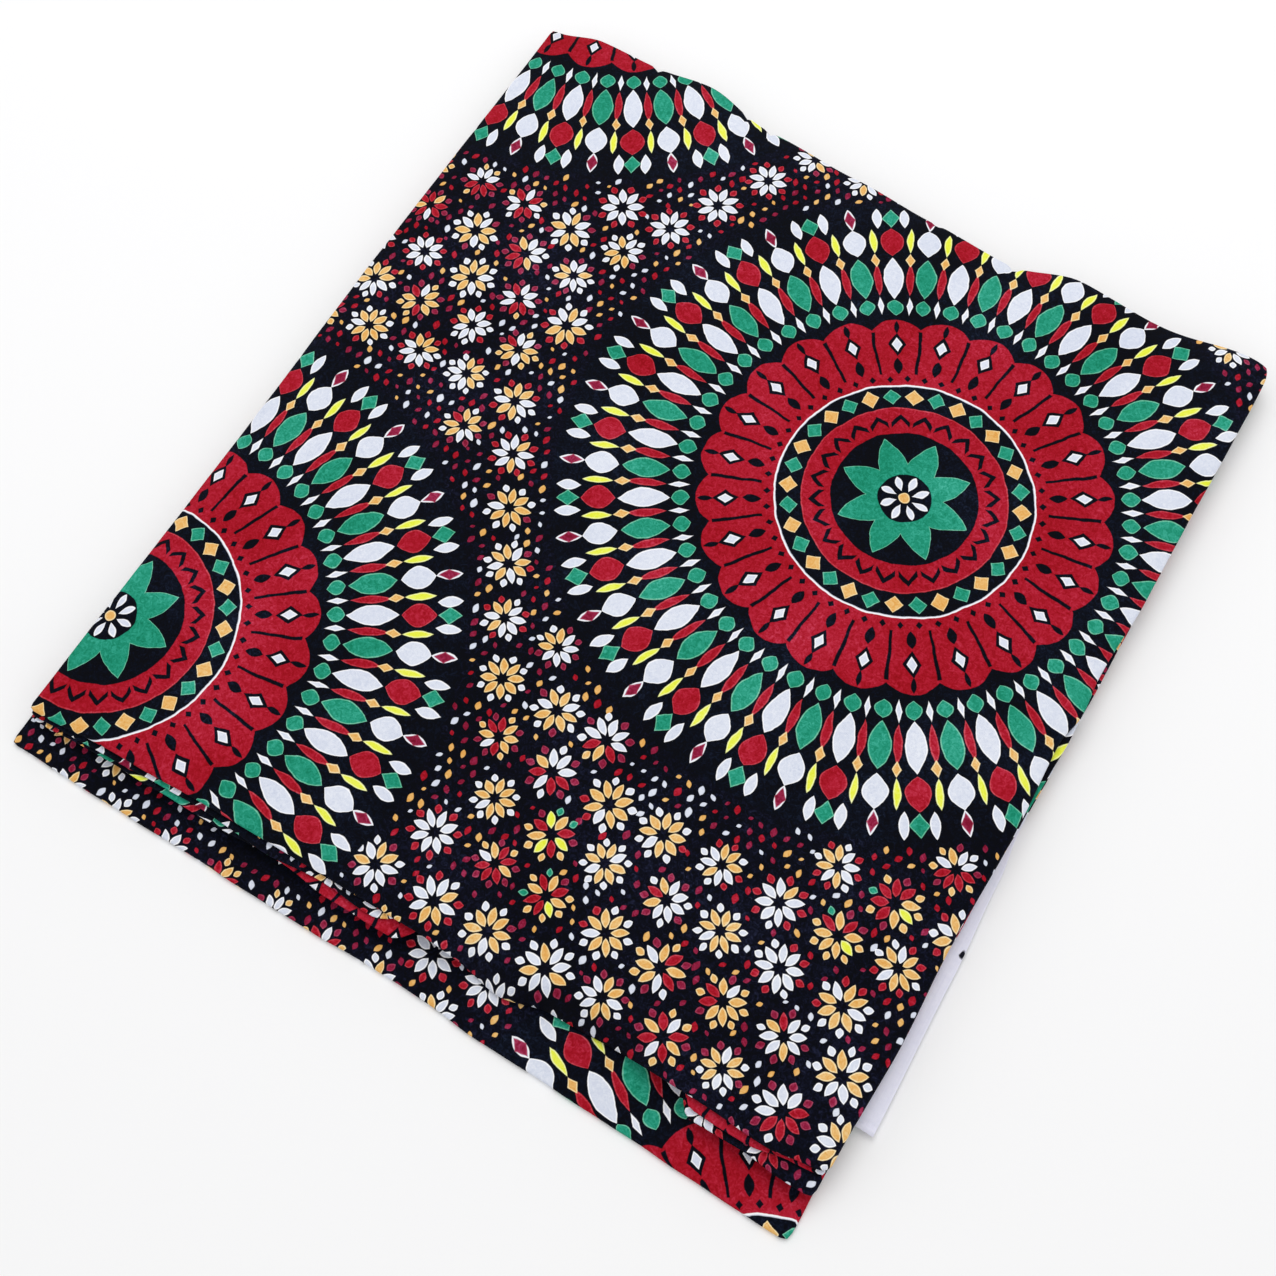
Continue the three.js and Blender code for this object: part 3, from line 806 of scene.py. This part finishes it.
def new_material(name, shown):
    """A material with an empty tree, and the colour and name it has in the viewport."""
    material = bpy.data.materials.new(name)
    material.use_nodes = True
    material.diffuse_color = shown
    material.node_tree.nodes.clear()
    return material, Tree(material.node_tree)


def laid_out_cloth(tree):
    """Places on the cut, in mm."""
    return tree.scaled(tree.add("ShaderNodeUVMap", {"uv_map": "cut"}), 1 / MM)


def finish_cloth(tree, colour, rough, height):
    """The cotton's shader: matt, with a weak wide gloss and a trace of sheen."""
    bump = tree.add("ShaderNodeBump", {}, {"Strength": 1.0, "Distance": MM, "Height": height})
    shader = tree.add("ShaderNodeBsdfPrincipled", {}, {
        "Base Color": colour, "Roughness": rough, "Normal": bump, "Specular IOR Level": 0.05,
        "Sheen Weight": 0.008, "Sheen Roughness": 0.5,
    })
    tree.add("ShaderNodeOutputMaterial", {}, (shader,))


print("threads to the cm:", round(10 / THREAD * 2))

# %% Printed cotton
WOBBLE, WOBBLE_SCALE = 1.1, 0.1
WORM_SCALE, CLOUD_SCALE, SLACK_SCALE = 0.5, 0.02, 0.12
WORM_TWIST, WORMS_SHOW, CLOUDS_SHOW = 1.6, 1.15, 0.75
ROUGH, ROUGH_MORE = 0.6, 0.16
DISC_LINE = 2.0
GROUND_DARK, GROUND_PALE, DEEPEST = linear("010208"), linear("07091A"), linear("02030A")
printed, tree = new_material("printed_cotton", INKS["crimson"])
flat = laid_out_cloth(tree)
shake = tree.noise(flat, WOBBLE_SCALE, detail=3.0, output=1)
shake = tree.vectors("SUBTRACT", shake, (0.5, 0.5, 0.5))
u, v = tree.parts(tree.vectors("ADD", flat, tree.scaled(shake, 2 * WOBBLE)))
du, dv = from_medallion(u, v)
r, turn = length_of(du, dv), dv.turn_from(du)
worms = tree.noise(flat, WORM_SCALE, detail=3.0, Distortion=WORM_TWIST)
ground = dye(worms, GROUND_DARK, GROUND_PALE)
colour = rosettes(u, v, seeds(u, v, ground))
colour = dye((r - FIELD_START).inside(), colour, NAVY)
colour = ring_of(r, turn, colour, AROUND)
scallop = (turn * (SCALLOPS / (2 * math.pi))).wrap(0.5)
disc = r + scallop * scallop * (4 * SCALLOP) - (DISC_RADIUS + SCALLOP)
colour = dye(disc.inside(past=DISC_LINE), colour, NAVY)
colour = dye(disc.inside(), colour, INKS["crimson"])
colour = ring_of(r, turn, colour, WITHIN)
clouds = tree.noise(flat, CLOUD_SCALE, detail=4.0)
depth = 1 - (worms - 0.5) * WORMS_SHOW - (clouds - 0.5) * CLOUDS_SHOW
colour = tree.add("ShaderNodeGamma", {}, (colour, depth))
colour = tree.add("ShaderNodeMix", {"data_type": "RGBA", "blend_type": "LIGHTEN"},
                  {0: 1.0, 6: colour, 7: DEEPEST}, 2)
slack = tree.noise(flat, SLACK_SCALE, detail=2.0)
height = weave_height(*tree.parts(flat)) * THREAD_HEIGHT + slack * SLACK_HEIGHT
finish_cloth(tree, colour, worms * ROUGH_MORE + ROUGH, height)
print("nodes in the print:", len(printed.node_tree.nodes))

# %% [markdown]
# ## The folded leaves
# With the maker and the cloth ready, each leaf is one call. Each has its own slide of the cut,
# so that other print comes up on its folds, as it does where a long cloth is folded. The
# bottom leaf is slid so that a medallion comes up at its right end.

# %% The folded leaves
top_leaf = leaf("top_leaf_cloth", top_edges, TOP_Z, TOP_THICK, draped, printed,
                face_rings=84, stray=0.15, nicked=True)
under_leaf = leaf("under_leaf_cloth", under_edges, UNDER_Z, UNDER_THICK, lying, printed,
                  seed=2, shift=(-63.0, 192.0))
middle_leaf = leaf("middle_leaf_cloth", middle_edges, MIDDLE_Z, MIDDLE_THICK, lying, printed,
                   seed=3, shift=(103.0, 194.0))
bottom_leaf = leaf("bottom_leaf_cloth", bottom_edges, 0.0, BOTTOM_THICK, lying, printed,
                   seed=4, shift=(-113.0, 331.0))

# %% [markdown]
# ## The stack of fold edges
# Between the middle leaf and the bottom one lie many layers, of which only the folds show, as
# thin streaks of print. They could be one block with lines on it, but a stack of real folds
# catches light between them. They all follow one rim, so Geometry Nodes make them: the rim is
# a closed curve, copied once for each layer, moved in or out a little at random, and a bent
# strip is swept along each. The tree also writes the cut, so the folds carry the same print.

# %% The rim they follow
LAYERS, FOLD_LEG, RIM_STEPS = 8, 11.0, 150
FOLD_ROUNDNESS, SETBACK, FOLD_SEED = 0.46, 0.9, 7
WANDER_SCALE, WANDER_SHARE, OWN_SHARE, SETBACK_START = 17.0, 1.3, 0.5, 0.35
side, share, _ = rim_points(RIM_STEPS)
plain, _ = plain_ring(side, share, np.zeros(len(side)))
rim_x, rim_y = placed(*plain.T, inner_edges)
rim_points_mm = np.stack([rim_x, rim_y, np.zeros_like(rim_x)], 1)
rim_mesh = bpy.data.meshes.new("inner_rim")
around = np.arange(len(side))
rim_edges = np.stack([around, np.roll(around, -1)], 1)
rim_mesh.from_pydata((rim_points_mm * MM).tolist(), rim_edges.tolist(), [])
keep = rim_mesh.attributes.new("press", "FLOAT", "POINT")
keep.data.foreach_set("value", press_at(rim_x, rim_y))
rim = linked("inner_leaves_cloth", rim_mesh)
rim_length = np.linalg.norm(rim_points_mm - np.roll(rim_points_mm, -1, 0), axis=1).sum()
print("once round the rim, mm:", round(rim_length))


# %% The tree
def named_tree(name, inputs):
    """An empty Geometry Nodes tree with named inputs, and a dictionary of their wires."""
    nodes = bpy.data.node_groups.new(name, "GeometryNodeTree")
    tree = Tree(nodes)
    nodes.interface.new_socket("Geometry", in_out="INPUT", socket_type="NodeSocketGeometry")
    for title, kind in inputs:
        nodes.interface.new_socket(title, in_out="INPUT", socket_type="NodeSocket" + kind)
    nodes.interface.new_socket("Geometry", in_out="OUTPUT", socket_type="NodeSocketGeometry")
    group = nodes.nodes.new("NodeGroupInput")
    wires = {item.name: Wire(tree, item) for item in group.outputs if item.name}
    return tree, wires


stack, given = named_tree("layered_folds", (
    ("Layers", "Int"), ("Pitch", "Float"), ("Base", "Float"), ("Leg", "Float"),
    ("Setback", "Float"), ("Seed", "Int"), ("Material", "Material")))


def chance_of(low, high, number, seed):
    """A random value for each number."""
    return stack.add("FunctionNodeRandomValue", {"data_type": "FLOAT"},
                     {2: low, 3: high, 7: number, 8: seed}, 1)


def ranged(value, from_low, from_high, to_low, to_high):
    """A value moved from one range to another, and held within it."""
    return stack.add("ShaderNodeMapRange", {"clamp": True},
                     (value, from_low, from_high, to_low, to_high))


def store(geometry, name, kind, value, domain="POINT"):
    """Stores a value on a geometry's points, or on its corners, under a name."""
    return stack.add("GeometryNodeStoreNamedAttribute", {"data_type": kind, "domain": domain},
                     {"Geometry": geometry, "Name": name, "Value": value})


def stored(name, kind):
    """What an earlier node, or the mesh, stored under a name."""
    return stack.add("GeometryNodeInputNamedAttribute", {"data_type": kind}, {"Name": name})


print("inputs:", ", ".join(given))

# %% Copies of the rim, one for each layer
LAYERS_APART = 3.7
rims = stack.add("GeometryNodeMeshToCurve", {}, {"Mesh": given["Geometry"]})
copies = stack.add("GeometryNodeDuplicateElements", {"domain": "SPLINE"},
                   {"Geometry": rims, "Amount": given["Layers"]})
layer_number = Wire(stack, copies.socket.node.outputs["Duplicate Index"])
copies = store(copies, "layer", "FLOAT", layer_number)
layer, press = stored("layer", "FLOAT"), stored("press", "FLOAT")
tangent = stack.add("GeometryNodeInputTangent")
outwards = stack.vectors("NORMALIZE", stack.vectors("CROSS_PRODUCT", tangent, (0.0, 0.0, 1.0)))
place = stack.add("GeometryNodeInputPosition")
wander = stack.add("ShaderNodeTexNoise", {"noise_dimensions": "4D"},
                   {"Vector": place, "W": layer * LAYERS_APART + given["Seed"],
                    "Scale": WANDER_SCALE, "Detail": 2.0})
own = chance_of(0.0, 1.0, layer, given["Seed"])
setback = (wander * WANDER_SHARE - SETBACK_START + own * OWN_SHARE) * given["Setback"]
height = ((layer + 0.5) * given["Pitch"] + given["Base"] - BOTTOM_THICK * MM) * press
lift = stack.vector(0.0, 0.0, height + BOTTOM_THICK * MM)
offset = stack.vectors("ADD", stack.scaled(outwards, setback * -1), lift)
moved = stack.add("GeometryNodeSetPosition", {}, {"Geometry": copies, "Offset": offset})
moved = store(moved, "rim_place", "FLOAT_VECTOR", place)
moved = store(moved, "rim_out", "FLOAT_VECTOR", outwards)
print("nodes so far:", len(stack.nodes.nodes))

# %% The bent strip, and the sweep
PROFILE_POINTS = 11
LEG_SHARE = 0.1
upright = stack.add("GeometryNodeSetCurveNormal", {"mode": "Z_UP"}, {"Curve": moved})
strip = stack.add("GeometryNodeMeshLine", {}, {"Count": PROFILE_POINTS, "Offset": (1.0, 0.0, 0.0)})
strip = stack.add("GeometryNodeMeshToCurve", {}, {"Mesh": strip})
step = stack.add("GeometryNodeInputIndex")
share = step / (PROFILE_POINTS - 1)
angle = ranged(share, LEG_SHARE, 1 - LEG_SHARE, -math.pi / 2, math.pi / 2)
lower_leg = ranged(share, 0.0, LEG_SHARE, 1.0, 0.0) * given["Leg"]
upper_leg = ranged(share, 1 - LEG_SHARE, 1.0, 0.0, 1.0) * given["Leg"]
radius = given["Pitch"] * FOLD_ROUNDNESS
inwards = radius - angle.cosine() * radius + lower_leg + upper_leg
bend = stack.vector(inwards * -1, angle.sine() * radius * -1, 0.0)
strip = stack.add("GeometryNodeSetPosition", {}, {"Geometry": strip, "Position": bend})
laid_out = angle * radius + upper_leg - lower_leg
strip = store(strip, "laid_out", "FLOAT", laid_out)
swept = stack.add("GeometryNodeCurveToMesh", {}, {"Curve": upright, "Profile Curve": strip})
swept = stack.add("GeometryNodeFlipFaces", {}, {"Mesh": swept})
print("nodes so far:", len(stack.nodes.nodes))

# %% The cut on the folds
SLIDE_ACROSS, SLIDE_ALONG = 0.3, 0.4
beyond = stack.scaled(stored("rim_out", "FLOAT_VECTOR"), stored("laid_out", "FLOAT"))
layer = stored("layer", "FLOAT")
slide = stack.vector(chance_of(-SLIDE_ACROSS, SLIDE_ACROSS, layer, given["Seed"] + 1),
                     chance_of(-SLIDE_ALONG, SLIDE_ALONG, layer, given["Seed"] + 2), 0.0)
cut = stack.vectors("ADD", stored("rim_place", "FLOAT_VECTOR"), beyond)
swept = store(swept, "cut", "FLOAT2", stack.vectors("ADD", cut, slide), "CORNER")
swept = stack.add("GeometryNodeSetShadeSmooth", {}, {"Geometry": swept})
swept = stack.add("GeometryNodeRealizeInstances", {}, {"Geometry": swept})
swept = stack.add("GeometryNodeSetMaterial", {}, {"Geometry": swept, "Material": given["Material"]})
stack.add("NodeGroupOutput", {}, {"Geometry": swept})
print("nodes in the tree:", len(stack.nodes.nodes))


# %% Running the tree
def grown(piece, tree, inputs):
    """Runs a tree on a piece, and keeps the result as its plain mesh."""
    modifier = piece.modifiers.new(tree.nodes.name, "NODES")
    modifier.node_group = tree.nodes
    for item in tree.nodes.interface.items_tree:
        if item.in_out == "INPUT" and item.name in inputs:
            modifier[item.identifier] = inputs[item.name]
    bpy.context.view_layer.update()
    evaluated = piece.evaluated_get(bpy.context.evaluated_depsgraph_get())
    mesh = bpy.data.meshes.new_from_object(evaluated)
    piece.modifiers.clear()
    piece.data = mesh
    print(f"{piece.name}: {len(mesh.polygons)} faces, layers {[a.name for a in mesh.uv_layers]}")
    return piece


inner_leaves = grown(rim, stack, {
    "Layers": LAYERS, "Pitch": INNER_THICK * MM / LAYERS, "Base": INNER_Z * MM,
    "Leg": FOLD_LEG * MM, "Setback": SETBACK * MM, "Seed": FOLD_SEED, "Material": printed})

# %% [markdown]
# ## The selvedge
# Along its edge the cloth has a strip with no print, where the loom's and the printer's clips
# held it. Here it shows between the leaves as a narrow pale band, folded on itself, with one
# small inked mark. It is a flat loop swept along the package: its outer edge is round, its
# inner part is tucked in, and its near end turns back in a small lip.

# %% The selvedge's cloth
INK_MARK = (187.6, -92.0)
MARK_SIZE, MARK_SLIMMER, MARK_LONGER, MARK_RAGGED, MARK_SOFT = 1.5, 1.5, 0.8, 2.0, 0.5
SLUB_SCALE, STREAK_STRETCH = 0.5, (2.0, 0.05, 1.0)
SELVEDGE_THREAD, SLUB_HEIGHT = 0.025, 0.12
SELVEDGE_ROUGH, SELVEDGE_ROUGH_MORE = 0.62, 0.15
SELVEDGE_DULL, SELVEDGE_PALE, MARK_INK = linear("DCDCF0"), linear("F4F4FF"), linear("15161F")
pale, tree = new_material("plain_selvedge", INKS["lilac"])
flat = laid_out_cloth(tree)
u, v = tree.parts(flat)
slubs = tree.noise(flat, SLUB_SCALE, detail=3.0)
streaks = tree.add("ShaderNodeMapping", {}, {"Vector": flat, "Scale": STREAK_STRETCH})
streaks = tree.noise(streaks, 1.0, detail=2.0)
colour = dye(slubs * 0.5 + streaks * 0.5, SELVEDGE_DULL, SELVEDGE_PALE)
from_mark = length_of((u - INK_MARK[0]) * MARK_SLIMMER, (v - INK_MARK[1]) * MARK_LONGER)
mark = from_mark - MARK_SIZE + (slubs - 0.5) * MARK_RAGGED
colour = dye(mark.inside(MARK_SOFT), colour, MARK_INK)
height = weave_height(u, v) * SELVEDGE_THREAD + slubs * SLUB_HEIGHT
finish_cloth(tree, colour, slubs * SELVEDGE_ROUGH_MORE + SELVEDGE_ROUGH, height)
print("nodes in the selvedge's cloth:", len(pale.node_tree.nodes))

# %% The strip
SELVEDGE = table("at edge", (-170, 189.8), (-102, 188.6), (-58, 186.9), (-36, 184.8))
SELVEDGE_NEAR, SELVEDGE_FAR, SELVEDGE_TUCK = -170.0, -30.0, 172.0
SELVEDGE_Z, SELVEDGE_THICK = INNER_Z, 1.0
ALONG_STEPS, ROUND_STEPS, FLAT_STEPS = 140, 8, 12
LIP_AT, LIP_WIDTH, LIP_HEIGHT = 1.3, 0.9, 0.8
CREASE_AT, CREASE_WIDTH, CREASE_DEPTH = 3.4, 0.6, 0.3
DROOP_START, EDGE_DROOP = 0.62, 1.1
RIPPLE_HEIGHT, RIPPLE_LENGTH, CROWDING = 0.16, 7.0, 1.5


def selvedge_section():
    """The loop of the strip: share of the way out, height, and cloth laid out, for each point."""
    half = SELVEDGE_THICK / 2
    arc = np.linspace(math.pi / 2, -math.pi / 2, ROUND_STEPS + 1)
    flat_share = np.linspace(0, 1, FLAT_STEPS + 1)[:-1]
    share = np.concatenate([flat_share, np.ones(ROUND_STEPS + 1), flat_share[::-1]])
    out = np.concatenate([0 * flat_share, half * (np.cos(arc) - 1), 0 * flat_share])
    height = np.concatenate([flat_share * 0 + half, half * np.sin(arc), flat_share * 0 - half])
    return share, out, height


share, out, height = selvedge_section()
crowded = np.linspace(0, 1, ALONG_STEPS + 1) ** CROWDING
along = lerp(SELVEDGE_NEAR, SELVEDGE_FAR, crowded)
edge = edge_at(SELVEDGE, along)
across = SELVEDGE_TUCK + (edge - SELVEDGE_TUCK)[:, None] * share + out
ripple = RIPPLE_HEIGHT * np.sin(along[:, None] / RIPPLE_LENGTH)
ripple = ripple * smooth((share - 0.5) * 2) * (height > 0)
from_end = along[:, None] - SELVEDGE_NEAR
lip = LIP_HEIGHT * np.exp(-((from_end - LIP_AT) / LIP_WIDTH) ** 2)
lip = lip - CREASE_DEPTH * np.exp(-((from_end - CREASE_AT) / CREASE_WIDTH) ** 2)
droop = EDGE_DROOP * smooth((share - DROOP_START) / (1 - DROOP_START))
level = SELVEDGE_Z + SELVEDGE_THICK / 2 + height + ripple - droop
level = level + lip * (height > 0) * smooth(share * 2)
points = np.stack([across, np.broadcast_to(along[:, None], across.shape), level], 2)
count = len(share)
number = np.arange(points.shape[0] * count).reshape(-1, count)
onward = np.roll(number, -1, 1)
quads = np.stack([number[:-1], onward[:-1], onward[1:], number[1:]], 2).reshape(-1, 4)
ends = [number[0][::-1].tolist(), number[-1].tolist()]
points = points.reshape(-1, 3)
faces = [*quads.tolist(), *ends]
cut = points[np.concatenate([quads.ravel(), *ends])][:, :2]
selvedge = cloth_object("selvedge_cloth", points, faces, cut, pale)
print("selvedge, mm:", round(SELVEDGE_FAR - SELVEDGE_NEAR), "long, faces:", len(faces))

# %% [markdown]
# ## Floor and light
# The package lies on a plain pale floor, which is a large flat sheet. The light is a soft pale
# sky from all round, with one wide lamp behind and to the left, so that the folds on the near
# side fall into gentle shade. The colours are shown as they are, with the Standard view.

# %% Floor and light
FLOOR_SIZE = 6.0
floor_mesh = bpy.data.meshes.new("floor")
half = FLOOR_SIZE / 2
floor_mesh.from_pydata([(-half, -half, 0), (half, -half, 0), (half, half, 0), (-half, half, 0)],
                       [], [(0, 1, 2, 3)])
floor = linked("floor", floor_mesh)
floor_paint, tree = new_material("pale_floor", (0.9, 0.9, 0.9, 1))
shader = tree.add("ShaderNodeBsdfPrincipled", {}, {
    "Base Color": (0.9, 0.9, 0.905, 1), "Roughness": 0.9, "Specular IOR Level": 0.1})
tree.add("ShaderNodeOutputMaterial", {}, (shader,))
floor_mesh.materials.append(floor_paint)

SKY_STRENGTH, LAMP_WATTS, LAMP_SIZE, LAMP_DISTANCE = 0.83, 8.5, 1.2, 1.6
LAMP_AZIMUTH, LAMP_ELEVATION = 205, 63
world = bpy.data.worlds.new("studio")
world.use_nodes = True
world.node_tree.nodes["Background"].inputs["Color"].default_value = (1, 1, 1, 1)
world.node_tree.nodes["Background"].inputs["Strength"].default_value = SKY_STRENGTH
bpy.context.scene.world = world
lamp_data = bpy.data.lights.new("wide_lamp", "AREA")
lamp_data.shape, lamp_data.size, lamp_data.energy = "DISK", LAMP_SIZE, LAMP_WATTS
lamp = linked("wide_lamp", lamp_data)
lamp_place = LAMP_DISTANCE * back_towards(LAMP_AZIMUTH, LAMP_ELEVATION)
lamp.matrix_world = aim(lamp_place, LAMP_AZIMUTH, LAMP_ELEVATION)
bpy.context.scene.view_settings.view_transform = "Standard"
bpy.context.scene.view_settings.look = "None"
print("lamp stands at", [round(v, 2) for v in lamp.location])

# %% [markdown]
# ## The pieces in place of the solids
# Each sheet stands for one solid of the imported model and moves with the one body there is.
# The size each was cut to is listed with it. Of a folded cloth the cut is that of what shows.

# %% In place of the solids
LEAF_CUT, BOTTOM_CUT, SELVEDGE_CUT = (0.384, 0.418), (0.384, 0.432), (0.018, 0.14)
INNER_CUT = (2 * FOLD_LEG * MM, LAYERS * rim_length * MM)
pieces = (
    (top_leaf, "top_leaf", "printed_cotton", LEAF_CUT),
    (under_leaf, "under_leaf", "printed_cotton", LEAF_CUT),
    (middle_leaf, "middle_leaf", "printed_cotton", LEAF_CUT),
    (inner_leaves, "inner_leaves", "printed_cotton", INNER_CUT),
    (selvedge, "selvedge_strip", "plain_selvedge", SELVEDGE_CUT),
    (bottom_leaf, "bottom_leaf", "printed_cotton", BOTTOM_CUT),
)
for piece, solid, slot, cut_size in pieces:
    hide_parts(solid)
    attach(piece, "root")
